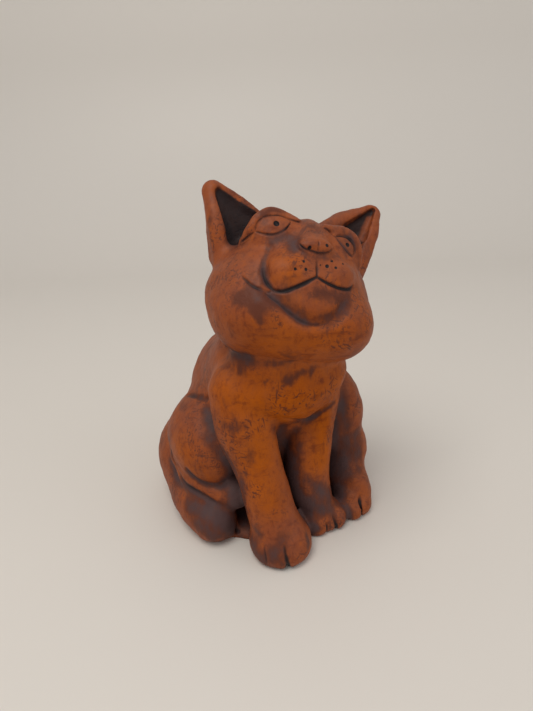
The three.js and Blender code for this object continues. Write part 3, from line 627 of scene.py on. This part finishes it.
# The wash: a thin dark slip, left where clay closes over a spot, in the lines and inside the ears,
# and in strokes laid on by hand. A stroke is how strong it is and its knots of x, y, z and radius.
wash = {
    "steps": (3, 6, 12, 20),            # how far out the clay is looked for
    "softEdge": 1.1,                    # of a stroke, times its radius
    "bodyLines": 0.3, "toeLines": 0.8,  # how dark the lines are, next to the face's
    "bodyBelow": 140, "toesBelow": 25,  # the heights that these reach
    "pitEdge": 0.35, "pitsAbove": 170,  # how far past a pit or an eye's line it is dark
    "ears": {"right": 1.0, "fold": 0.9, "cup": 0.65},
    "earMouth": 8, "earBack": -8,       # y of their mouths and backs in the head's frame,
    "earFoot": 12,                      # z of their feet,
    "earTurn": -0.2,                    # and how far from the front a wall may face
    "earFull": 0.6, "earEdge": 2.2, "earRimClearEdge": 3,
    # bright orange places: partly clay wiped clean, partly painted bounce light from the floor
    "wipedAndBounceLit": {
        "throat": (0.6, [[-24, -62, 158, 12], [8, -74, 154, 14], [30, -66, 160, 10]]),
        "chest": (1, [[-30, -45, 118, 16], [0, -56, 112, 20], [26, -50, 112, 14]]),
        "foreleg": (0.85, [[-27, -50, 98, 11], [-25, -58, 72, 12], [-22, -64, 48, 8]]),
        "legLeft": (1, [[22, -48, 84, 10], [19, -54, 58, 8]]),
        "thigh": (0.7, [[-62, -16, 66, 9], [-54, -24, 56, 9]]),
        "lobe": (0.5, [[-4, -60, 198, 6], [-4, -64, 192, 6]]),
    },
    # slip rubbed thin, which leaves the clay a dark red brown
    "thin": {
        "cheek": (1, [[-33, -55, 181, 3], [-26, -59, 182.5, 4], [-21, -66, 180, 4.5],
                      [-24, -67, 174, 3.5]]),
        "cheekBack": (1, [[-32, -55.5, 180, 3.5], [-29, -60.5, 179.5, 4.5]]),
        "cheekLow": (0.9, [[-28, -62, 178.5, 4], [-23, -69, 170, 3]]),
        "chin": (0.75, [[10, -71, 181, 3.5], [19, -71, 178, 4.5], [28, -69, 174, 3.5], [20, -72, 167, 3]]),
        "neck": (0.7, [[-30, -39, 140, 4.5], [-29, -45, 136, 4.5], [-30, -46, 131, 2.5]]),
        "chest": (0.7, [[-5, -61, 126, 4], [2, -61, 130, 5], [14, -60, 131, 2.5]]),
        "innerLeg": (0.8, [[-2, -43, 84, 4], [2, -38, 65, 6], [0, -45, 49, 7]]),
        "shoulder": (0.45, [[-42, -46, 112, 2.5], [-38, -52, 106, 3.5], [-35, -54.5, 98, 3]]),
        "brow": (0.8, [[-7, -34, 218, 2], [-1, -33, 219, 2.5], [6, -34, 217, 2]]),
        "noseSide": (0.8, [[-5, -44, 205, 3.5], [3, -46, 206, 4.5], [4, -54, 202, 3.5]]),
        "besideLobe": (0.8, [[-9, -46, 201, 2], [-15, -52, 194, 2.5], [-17, -58, 188, 2.5]]),
    },
    # the rim inside the folded ear, kept clear of the dark
    "earRimClear": (0.6, [[67, -17, 191, 3], [70, -16, 196, 3.4], [73, -14, 201, 2.4]]),
    # slip left as it was laid on, and under the chest a painted shadow
    "strokes": {
        "noseSide": (0.8, [[-5, -44, 205, 2.8], [3, -46, 206, 3.6], [3, -54, 202, 3.1]]),
        "bridge": (0.15, [[9, -43, 210, 4.3], [21, -46, 209, 3.6]]),
        "besideLobe": (0.7, [[-8, -45, 201, 1.3], [-13, -50, 197, 1.5], [-16, -55, 191, 1.5],
                             [-15, -60, 186, 1.5]]),
        "cheek": (0.45, [[-26, -56, 186, 3], [-22, -63, 182, 4.6], [-21, -68, 177, 4],
                         [-23, -69, 170, 2.4]]),
        "cheekEdge": (0.4, [[-32, -52, 182, 2.1], [-30, -61, 178, 2.7], [-27, -66, 173, 2.4]]),
        "jaw": (0.6, [[-16, -63, 182, 1.4], [-9, -68, 174, 1.6], [-2, -71, 167, 2.6], [6, -72, 164, 1.4]]),
        "chinSide": (0.3, [[9, -71, 181, 4.2], [17, -71, 179, 3.5], [31, -68, 176, 2.9]]),
        "chinLow": (0.55, [[25, -71, 173, 2.9], [20, -72, 167, 2.5], [14, -73, 165, 1.8]]),
        "underNose": (0.5, [[6, -59, 200, 1.9], [10, -62, 198, 2.1], [16, -62, 197, 2.4],
                            [28, -59, 194, 2.9]]),
        "lobeMark": (0.45, [[-9, -64, 191, 0.7], [-6, -65, 190, 0.8], [-2, -66, 191, 0.7]]),
        "noseBase": (0.5, [[6, -57, 203, 1.2], [12, -61, 200, 1.1], [22, -61, 200, 1.1]]),
        "earOuter": (0.65, [[-30, -8, 213, 2.1], [-31, -7, 199, 1.9]]),
        "earTopRim": (0.45, [[-6, 1, 221, 1.7], [2, -3, 214, 1.7]]),
        "jowlLeft": (0.4, [[31, -76, 163, 2.9], [30, -78, 155, 3.6]]),
        "eyeLeft": (0.5, [[34, -49, 199, 2.9], [37, -51, 195, 2.6]]),
        "browLeft": (0.4, [[43, -46, 200, 2.2], [46, -48, 197, 1.8]]),
        "neckSide": (0.5, [[-38, -44, 152, 1.9], [-31, -38, 142, 2.7], [-26, -48, 140, 3]]),
        "neckPatch": (0.35, [[-30, -39, 140, 3.6], [-29, -45, 136, 3.1], [-30, -47, 129, 2.7]]),
        "neckFront": (0.5, [[-8, -66, 145, 3], [1, -68, 144, 3]]),
        "neckLine": (0.45, [[-27, -48, 137, 1.6], [-14, -57, 137, 1.2], [-1, -63, 140, 1.2]]),
        "chestPatch": (0.45, [[-5, -61, 126, 4], [2, -61, 130, 4.9], [14, -60, 131, 2.2]]),
        "chestSpot": (0.8, [[-19, -56, 126, 1.2], [-17, -57, 128, 0.9]]),
        "shoulder": (0.45, [[-43, -40, 122, 2.7], [-42, -46, 114, 3.2], [-39, -49, 113, 2.7]]),
        "shoulderLow": (0.5, [[-44, -46, 101, 2.3], [-38, -53, 97, 3.7], [-34, -55, 99, 1.8]]),
        "chestMiddle": (0.4, [[-25, -56, 113, 1.8], [-24, -55, 106, 2]]),
        "thighFront": (0.75, [[-46, -12, 92, 2], [-46, -21, 86, 2.4], [-46, -34, 84, 2.6],
                              [-41, -46, 77, 3.8], [-38, -48, 64, 4.8]]),
        "shin": (0.95, [[-36, -35, 44, 6.1], [-41, -42, 35, 7.1], [-32, -29, 8, 5.4]]),
        "thigh": (0.4, [[-50, -27, 78, 4], [-46, -32, 71, 4.4], [-42, -35, 63, 3.5]]),
        "thighUnder": (0.7, [[-63, -19, 51, 2.6], [-57, -23, 43, 2.9], [-48, -29, 42, 2.6]]),
        "behindThigh": (0.95, [[-70, 3, 65, 1.6], [-69, 10, 40, 2.8], [-68, 2, 32, 4], [-64, -15, 35, 3],
                               [-57, -26, 32, 3.1], [-49, -33, 28, 5.2]]),
        "thighTop": (0.75, [[-51, 12, 90.5, 1], [-47.5, 1.4, 94.2, 1.3], [-43.2, -7.8, 95.6, 1]]),
        "hindFoot": (1.15, [[-66, -24, 25, 5], [-56, -37, 25, 8], [-46, -44, 15, 9]]),
        "hindFootLow": (1.05, [[-64, -36, 19, 6.5], [-56, -44, 12, 7], [-46, -46, 6, 6]]),
        "forelegSpot": (0.7, [[-35, -57, 67, 1.5], [-35, -58, 65, 1.3]]),
        "forelegEdge": (0.7, [[-37.4, -54, 66, 2.2], [-37.2, -54.4, 50, 2.6], [-36.6, -53.4, 36, 2.8]]),
        "forelegMark": (0.5, [[-30, -62, 60, 0.9], [-27, -64, 60, 0.9]]),
        "wrist": (0.5, [[-35, -60, 27, 3.2], [-31, -67, 23, 2.4]]),
        "pawOuter": (0.9, [[-36, -62, 13, 5], [-33, -70, 8, 5.5]]),
        "pawMiddle": (0.75, [[-21, -76, 21, 4.4], [-25, -78, 14, 5.8], [-22, -81, 7, 3.4]]),
        "pawEdge": (0.9, [[-1.5, -73.4, 16.7, 2.6], [-2, -76.5, 11.7, 3], [-7, -80.7, 6.5, 2.4]]),
        "pawUnder": (0.95, [[-14, -80, 1, 2.4], [-19, -79, 1, 2.8], [-25, -77, 1, 2.4]]),
        "innerLeg": (0.4, [[-2, -43, 84, 3.4], [2, -38, 65, 4.6], [0, -45, 49, 6.2], [2, -51, 35, 7.2]]),
        "innerLegTop": (0.5, [[7, -42, 77, 3.5], [6, -46, 67, 2.5]]),
        "legLeft": (0.8, [[9, -55, 46, 4.5], [15, -57, 36, 5.4], [24, -55.6, 25, 4]]),
        "wristLeft": (0.95, [[3, -53, 30, 6.5], [10, -58, 26, 6.5], [18, -59, 20, 5], [24, -58, 16, 3.4]]),
        "pawLeft": (0.8, [[10, -62, 10, 2.6], [11, -63, 9, 2.3]]),
        "legGap": (0.9, [[40, -33, 71, 2.1], [41, -29, 45, 3.3], [38, -30, 25, 3.4], [27, -51, 30, 3.2]]),
        "hindLegTop": (0.7, [[44, -34, 92, 3.6], [44, -35, 81, 5.2], [48, -35, 65, 5.3]]),
        "hindLeg": (0.75, [[50, -34, 53, 4.3], [49, -35, 38, 6.6], [41, -37, 26, 6.1], [50, -42, 29, 3.3]]),
        "hindLegOuter": (0.9, [[55, -34, 54, 5], [57, -36, 40, 6], [53, -42, 30, 4.5]]),
        # painted shadow under the chest's overhanging edge
        "shadowUnderChest": (0.7, [[3, -46, 86, 2.2], [12, -44, 84, 2.6], [24, -43, 87, 2.2]]),
        "hindFootLeft": (0.85, [[38, -40, 15, 5.5], [33, -52, 14, 4.6], [37, -58, 6, 2.7]]),
    },
    # places where it was wiped off again, and a painted lightening of the shade in the hollow under the
    # right shin
    "wipedAndLit": {
        "toes": (0.4, [[-14, -82, 6, 3], [-8, -80, 9, 3]]),
        "chest": (0.5, [[-30, -52, 118, 7], [-4, -60, 104, 10], [20, -56, 110, 8]]),
        "throat": (0.5, [[-14, -72, 160, 7], [8, -74, 154, 8]]),
        "shin": (0.7, [[-64, -20, 42, 2], [-50, -32, 37, 3]]),
        # painted fill light: the shade in the hollow under the right shin made lighter
        "litUnderShin": (0.5, [[-38, -36, 22, 6], [-34, -36, 12, 6]]),
        "footLeft": (0.6, [[57, -44, 22, 4], [57, -50, 12, 3]]),
    },
}


def closedIn(points, out):
    # how much of the space in front of a point is taken up by clay
    total = np.zeros(len(points))
    for step in wash["steps"]:
        total += np.clip((step - clayAt(points + out * step)) / step, 0, 1)
    return total / len(wash["steps"])


def brushed(points, strokes):
    # how much of the strongest stroke reaches each point
    dark = np.zeros(len(points))
    for strength, knots in strokes.values():
        edge = wash["softEdge"] * np.mean([knot[3] for knot in knots])
        dark = np.maximum(dark, strength * np.clip(0.5 - rods(knots)(points) / (2 * edge), 0, 1))
    return dark


def insideEars(points, out):
    # everything behind the pits' openings, as seen from the front of the face
    local = toHead(points)
    level = local.copy()
    level[:, 1] = np.maximum(local[:, 1], wash["earMouth"])
    inside = [wash["ears"][name] * np.clip(wash["earFull"] - pit(level) / wash["earEdge"], 0, 1)
              for name, pit in earPits.items()]
    strength, knots = wash["earRimClear"]
    wipedAndLit = strength * np.clip(0.5 - rods(knots)(points) / wash["earRimClearEdge"], 0, 1)
    turned = (out @ headTurn.T)[:, 1] > wash["earTurn"]
    faces = turned & (local[:, 2] > wash["earFoot"]) & (local[:, 1] > wash["earBack"])
    return (np.maximum.reduce(inside) - wipedAndLit) * faces


def sunkIn(points):
    # how deep a point lies in a line or a pit
    low, middle = points[:, 2] < wash["toesBelow"], points[:, 2] < wash["bodyBelow"]
    lineDark = np.select([low, middle], [wash["toeLines"], wash["bodyLines"]], 1.0)
    edge = wash["pitEdge"]
    marks = within(lambda p: np.minimum(facePits(toHead(p)), eyeLines(toHead(p)) + edge),
                   lambda p: p[:, 2] > wash["pitsAbove"])(points)
    return np.maximum(-clayAt(points, scored=False) * lineDark, 1 - np.maximum(marks, 0) / edge)


points = meshPoints(cat)
outward = steepest(points)
outward /= np.maximum(np.linalg.norm(outward, axis=1), tiny)[:, None]
paint(cat, "sunk", sunkIn(points))
paint(cat, "recess", closedIn(points, outward))
# wash patches, with the painted shadow under the chest, less the wiped places and the painted fill light
# under the right shin
paint(cat, "patch", brushed(points, wash["strokes"]) - brushed(points, wash["wipedAndLit"]))
paint(cat, "ear", insideEars(points, outward))
# painted reflection of the sky: a grey-pink haze on surfaces as far as they face up
paint(cat, "skyReflection", np.clip(outward[:, 2], 0, 1))
# partly painted bounce light: a brighter orange on the throat, chest, legs and muzzle
paint(cat, "wipedAndBounceLit", brushed(points, wash["wipedAndBounceLit"]))
paint(cat, "thin", brushed(points, wash["thin"]))
print("wash laid on")


# Nodes for both kinds of tree: inputs are values or other nodes' outputs.
def node(tree, kind, inputs=None, **settings):
    made = tree.nodes.new(kind)
    for name, value in settings.items():
        setattr(made, name, value)
    for name, value in (inputs or {}).items():
        socket = made.inputs[name]
        if isinstance(value, bpy.types.NodeSocket):
            tree.links.new(value, socket)
        else:
            socket.default_value = value
    return made


def calc(tree, operation, a, b):
    return node(tree, "ShaderNodeMath", {0: a, 1: b}, operation=operation).outputs[0]


def plus(tree, a, b):
    return calc(tree, "ADD", a, b)


def times(tree, a, b):
    return calc(tree, "MULTIPLY", a, b)


def claySkin():
    # the hand-worked surface: broad lumps and small dabs, fading out at the foot
    tree = bpy.data.node_groups.new("clay skin", "GeometryNodeTree")
    face = tree.interface
    face.new_socket("Clay", in_out="INPUT", socket_type="NodeSocketGeometry")
    for name in ("Lump height", "Lump size", "Dab height", "Dab size", "Foot plain", "Foot full", "Seed"):
        face.new_socket(name, in_out="INPUT", socket_type="NodeSocketFloat")
    face.new_socket("Material", in_out="INPUT", socket_type="NodeSocketMaterial")
    face.new_socket("Clay", in_out="OUTPUT", socket_type="NodeSocketGeometry")
    given = tree.nodes.new("NodeGroupInput").outputs
    place = node(tree, "GeometryNodeInputPosition").outputs[0]
    normal = node(tree, "GeometryNodeInputNormal").outputs[0]
    noiseMiddle, noiseGain = 0.5, 4.0   # noise strays about a quarter from its middle

    def lumps(height, size, detail):
        scale = calc(tree, "DIVIDE", 1.0, given[size])
        noise = node(tree, "ShaderNodeTexNoise", {"Vector": place, "W": given["Seed"], "Scale": scale,
                                                  "Detail": detail}, noise_dimensions="4D")
        return times(tree, calc(tree, "SUBTRACT", noise.outputs[0], noiseMiddle),
                     times(tree, given[height], noiseGain))

    depth = plus(tree, lumps("Lump height", "Lump size", 1.0), lumps("Dab height", "Dab size", 2.0))
    level = node(tree, "ShaderNodeSeparateXYZ", {0: place}).outputs[2]
    foot = node(tree, "ShaderNodeMapRange", {0: level, 1: given["Foot plain"], 2: given["Foot full"],
                                             3: 0.0, 4: 1.0}).outputs[0]
    offset = node(tree, "ShaderNodeVectorMath", {0: normal, "Scale": times(tree, depth, foot)},
                  operation="SCALE").outputs[0]
    moved = node(tree, "GeometryNodeSetPosition", {"Geometry": given["Clay"], "Offset": offset})
    real = node(tree, "GeometryNodeRealizeInstances", {0: moved.outputs[0]})
    fired = node(tree, "GeometryNodeSetMaterial", {"Geometry": real.outputs[0],
                                                   "Material": given["Material"]})
    tree.links.new(fired.outputs[0], tree.nodes.new("NodeGroupOutput").inputs[0])
    return tree


# The fired clay. Colours are linear, the wash is a thin purple black. Sheen is the specular level.
clayLook = {
    "clay": (0.27, 0.052, 0.002, 1), "bright": (0.41, 0.090, 0.001, 1), "dull": (0.21, 0.06, 0.026, 1),
    "pale": (0.25, 0.060, 0.020, 1), "rust": (0.13, 0.021, 0.005, 1), "stain": (0.105, 0.028, 0.014, 1),
    # the grey-pink haze colour is a painted reflection of the sky on surfaces that face up
    "reflectedSkyColour": (0.12, 0.062, 0.052, 1), "wash": (0.075, 0.043, 0.044, 1), "deep": (0.008, 0.006, 0.008, 1),
    "roughness": 0.5, "washRoughness": 0.6, "sheen": 0.2, "warmSheen": 0.06,
    "paleAmount": 0.7, "warmAmount": 0.75, "skyReflectionAmount": 0.4,
    "patchBreak": 1.5, "streakBreak": 1.3,      # how much the patterns break up the wash,
    "thinBreak": 0.8, "earBreak": 0.25,         # and how much of that where it is thin and in the ears
    "streakHeight": 1.8, "mottleHeight": 1.6, "scratchDepth": 0.6,
    "bumpStrength": 0.5, "bumpHeight": 0.0003,
    "scratchScale": 650.0, "scratchLength": 7,  # and which ways the scratches lie
    "scratchTurns": ((0, 0.7, 0.3), (0, 1.5, 0.2), (0.2, -0.6, 0.6), (0, 0.1, -0.5)),
    # each pattern's scale, detail, stretch and roughness
    "grain": {
        "broad": (22.0, 3.0, (1, 1, 1), 0.55), "patchy": (75.0, 4.0, (1, 1, 0.7), 0.62),
        "streaks": (60.0, 5.0, (1.6, 1.6, 0.45), 0.65), "brush": (150.0, 3.0, (0.35, 1.5, 1.5), 0.6),
        "mottle": (240.0, 6.0, (1, 1, 0.6), 0.7), "fine": (420.0, 2.0, (1, 1, 1), 0.55),
        "clusters": (38.0, 2.0, (1, 1, 1), 0.55),
    },
    # the values from and to which each layer shows, and how strongly there
    "shows": {
        "bright": (0.36, 0.64), "dull": (0.48, 0.72, 0, 0.55), "brush": (0.52, 0.75, 0, 0.6),
        "mottle": (0.5, 0.68, 0, 0.5), "mottleLight": (0.48, 0.34, 0, 0.35),
        "scratches": (0.61, 0.71), "clusters": (0.47, 0.62, 0.1, 0.9), "skyReflection": (0.35, 0.65, 0.3, 1.0),
        "stained": (0.12, 0.75, 0.0, 0.9), "thin": (0.3, 0.75, 0.0, 0.92), "washed": (0.5, 1.15, 0.0, 0.9),
        "sunk": (0.15, 0.8, 0.0, 0.97), "ear": (0.25, 0.75, 0.0, 0.94),
    },
}


def mixed(tree, factor, a, b):
    return node(tree, "ShaderNodeMix", {0: factor, 6: a, 7: b}, data_type="RGBA").outputs[2]


def between(tree, value, low, high, toLow=0.0, toHigh=1.0):
    return node(tree, "ShaderNodeMapRange", {0: value, 1: low, 2: high, 3: toLow, 4: toHigh},
                interpolation_type="SMOOTHSTEP").outputs[0]


def clayMaterial():
    look = clayLook
    material = bpy.data.materials.new("fired clay")
    material.use_nodes = True
    tree = material.node_tree
    shader = tree.nodes["Principled BSDF"]
    place = node(tree, "ShaderNodeTexCoord").outputs["Object"]

    def noise(name):
        scale, detail, stretch, rough = look["grain"][name]
        spot = node(tree, "ShaderNodeMapping", {"Vector": place, "Scale": stretch}).outputs[0]
        return node(tree, "ShaderNodeTexNoise", {"Vector": spot, "Scale": scale, "Detail": detail,
                                                 "Roughness": rough}).outputs[0]

    def painted(name):
        return node(tree, "ShaderNodeAttribute", attribute_name=name).outputs["Fac"]

    def shown(value, name):
        return between(tree, value, *look["shows"][name])

    def centred(value, amount):
        return times(tree, calc(tree, "SUBTRACT", value, 0.5), amount)

    def scratches(turn):
        # thin marks a few millimetres long, all lying one way
        spot = node(tree, "ShaderNodeMapping", {"Vector": place, "Rotation": turn,
                                                "Scale": (look["scratchLength"], 1, 1)},
                    vector_type="TEXTURE").outputs[0]
        grain = node(tree, "ShaderNodeTexNoise", {"Vector": spot, "Scale": look["scratchScale"],
                                                  "Detail": 1.0}).outputs[0]
        return shown(grain, "scratches")

    patchy, streaks, mottle = noise("patchy"), noise("streaks"), noise("mottle")
    wipedAndBounceLit = painted("wipedAndBounceLit")
    cool = calc(tree, "SUBTRACT", look["paleAmount"], times(tree, wipedAndBounceLit, look["paleAmount"]))
    marks = scratches(look["scratchTurns"][0])
    for turn in look["scratchTurns"][1:]:
        marks = calc(tree, "MAXIMUM", marks, scratches(turn))
    marks = times(tree, marks, shown(noise("clusters"), "clusters"))
    # the painted sky reflection on upward faces, broken up in patches
    skyReflection = times(tree, painted("skyReflection"), shown(patchy, "skyReflection"))

    # the wash stays in recesses and patches, broken up where it was wiped off
    loose = plus(tree, centred(patchy, look["patchBreak"]), centred(streaks, look["streakBreak"]))
    amount = plus(tree, plus(tree, painted("recess"), painted("patch")), loose)
    washed = shown(amount, "washed")
    rubbedThin = plus(tree, painted("thin"), times(tree, loose, look["thinBreak"]))
    inEar = plus(tree, painted("ear"), times(tree, loose, look["earBreak"]))
    dark = calc(tree, "MAXIMUM", shown(painted("sunk"), "sunk"), shown(inEar, "ear"))

    # one coat over the other: how much of it, and its colour
    coats = [
        # the bright coat over the throat, chest and legs is partly painted bounce light from the floor
        (cool, "pale"), (shown(streaks, "dull"), "dull"), (times(tree, wipedAndBounceLit, look["warmAmount"]), "bright"),
        (shown(noise("brush"), "brush"), "rust"), (shown(mottle, "mottle"), "rust"),
        (shown(mottle, "mottleLight"), "bright"), (marks, "stain"),
        # the haze coat is the painted reflection of the sky on upward faces
        (times(tree, skyReflection, look["skyReflectionAmount"]), "reflectedSkyColour"), (shown(amount, "stained"), "stain"),
        (shown(rubbedThin, "thin"), "stain"), (washed, "wash"), (dark, "deep"),
    ]
    colour = mixed(tree, shown(noise("broad"), "bright"), look["clay"], look["bright"])
    for share, name in coats:
        colour = mixed(tree, share, colour, look[name])
    tree.links.new(colour, shader.inputs["Base Color"])

    rough = between(tree, washed, 0.0, 1.0, look["roughness"], look["washRoughness"])
    tree.links.new(rough, shader.inputs["Roughness"])
    sheen = between(tree, wipedAndBounceLit, 0.0, 1.0, look["sheen"], look["warmSheen"])
    tree.links.new(sheen, shader.inputs["Specular IOR Level"])

    height = plus(tree, noise("fine"), times(tree, streaks, look["streakHeight"]))
    height = plus(tree, height, times(tree, mottle, look["mottleHeight"]))
    height = calc(tree, "SUBTRACT", height, times(tree, marks, look["scratchDepth"]))
    bump = node(tree, "ShaderNodeBump", {"Strength": look["bumpStrength"], "Distance": look["bumpHeight"],
                                         "Height": height})
    tree.links.new(bump.outputs[0], shader.inputs["Normal"])
    return material


bare = added("bare cat", cat)
skin = bare.modifiers.new("clay skin", "NODES")
skin.node_group = claySkin()
settings = {
    "Lump height": surface["lumpHeight"] / 1000, "Lump size": surface["lumpSize"] / 1000,
    "Dab height": surface["dabHeight"] / 1000, "Dab size": surface["dabSize"] / 1000,
    "Foot plain": surface["footPlain"] / 1000, "Foot full": surface["footFull"] / 1000,
    "Seed": surface["seed"], "Material": clayMaterial(),
}
for socket in skin.node_group.interface.items_tree:
    if socket.in_out == "INPUT" and socket.name in settings:
        skin[socket.identifier] = settings[socket.name]
finished = evaluated(bare)
finished.name = "cat clay"
bpy.data.objects.remove(bare)
finished.shade_smooth()
piece = added("cat_clay", finished)
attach(piece, "root")
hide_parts("cat")
print("cat:", sum(len(face.vertices) - 2 for face in finished.polygons), "triangles")


# Floor, backdrop, light and camera, in metres. The lens is in millimetres.
studio = {
    "floorColour": (0.70, 0.67, 0.63, 1), "floorRoughness": 0.5,
    "wallAway": 0.55, "bendRadius": 0.35, "bendSteps": 24, "wallHeight": 1.6, "halfWidth": 2.2,
    "nearEdge": -1.2,
    "skyColour": (1.0, 0.97, 0.94, 1), "skyStrength": 0.58, "lampsAim": (0, 0, 0.12),
    "lamps": {  # place, size, power and colour
        "key": ((-0.35, -0.25, 1.15), 0.7, 5.9, (1.0, 0.95, 0.88)),
        "fill": ((0.9, -0.9, 0.7), 0.9, 1.6, (0.95, 0.97, 1.0)),
    },
}
camera = {
    "place": (-0.112998, -0.320693, 0.280725), "lens": 27.948, "sensorWidth": 36, "clipStart": 0.01,
    "right": (0.930, -0.364, -0.049), "up": (0.201, 0.393, 0.897),
}


def backdrop():
    # a floor that bends up into a wall, square to the camera's view
    ahead = Vector((0, 0, 1)).cross(Vector(camera["right"])).normalized()
    aside = Vector((ahead.y, -ahead.x, 0))
    bend = studio["bendRadius"]
    profile = [(studio["nearEdge"], 0.0)]
    profile += [(studio["wallAway"] + bend * math.sin(a), bend * (1 - math.cos(a)))
                for a in np.linspace(0, math.pi / 2, studio["bendSteps"])]
    profile.append((studio["wallAway"] + bend, studio["wallHeight"]))
    corners = [ahead * along + aside * side + Vector((0, 0, high))
               for along, high in profile for side in (-studio["halfWidth"], studio["halfWidth"])]
    faces = [(2 * i, 2 * i + 1, 2 * i + 3, 2 * i + 2) for i in range(len(profile) - 1)]
    mesh = bpy.data.meshes.new("floor")
    mesh.from_pydata(corners, [], faces)
    mesh.shade_smooth()
    material = bpy.data.materials.new("pale floor")
    material.use_nodes = True
    shader = material.node_tree.nodes["Principled BSDF"]
    shader.inputs["Base Color"].default_value = studio["floorColour"]
    shader.inputs["Roughness"].default_value = studio["floorRoughness"]
    mesh.materials.append(material)
    return added("floor", mesh)


def lamp(name, place, size, power, colour):
    light = bpy.data.lights.new(name, "AREA")
    light.shape = "DISK"
    light.size = size
    light.energy = power
    light.color = colour
    obj = added(name, light)
    obj.location = place
    aim = Vector(studio["lampsAim"]) - Vector(place)
    obj.rotation_euler = aim.to_track_quat("-Z", "Y").to_euler()


floor = backdrop()
for name, made in studio["lamps"].items():
    lamp(name, *made)

world = bpy.data.worlds.new("studio")
world.use_nodes = True
background = world.node_tree.nodes["Background"]
background.inputs["Color"].default_value = studio["skyColour"]
background.inputs["Strength"].default_value = studio["skyStrength"]
bpy.context.scene.world = world
bpy.context.scene.view_settings.view_transform = "Standard"

lens = bpy.data.cameras.new("camera")
lens.lens = camera["lens"]
lens.sensor_width = camera["sensorWidth"]
lens.clip_start = camera["clipStart"]
right = Vector(camera["right"]).normalized()
up = (Vector(camera["up"]) - right * right.dot(Vector(camera["up"]))).normalized()
eye = added("camera", lens)
turned = Matrix((right, up, right.cross(up))).transposed().to_4x4()
eye.matrix_world = Matrix.Translation(camera["place"]) @ turned
bpy.context.scene.camera = eye
print("floor, lamps and camera placed")
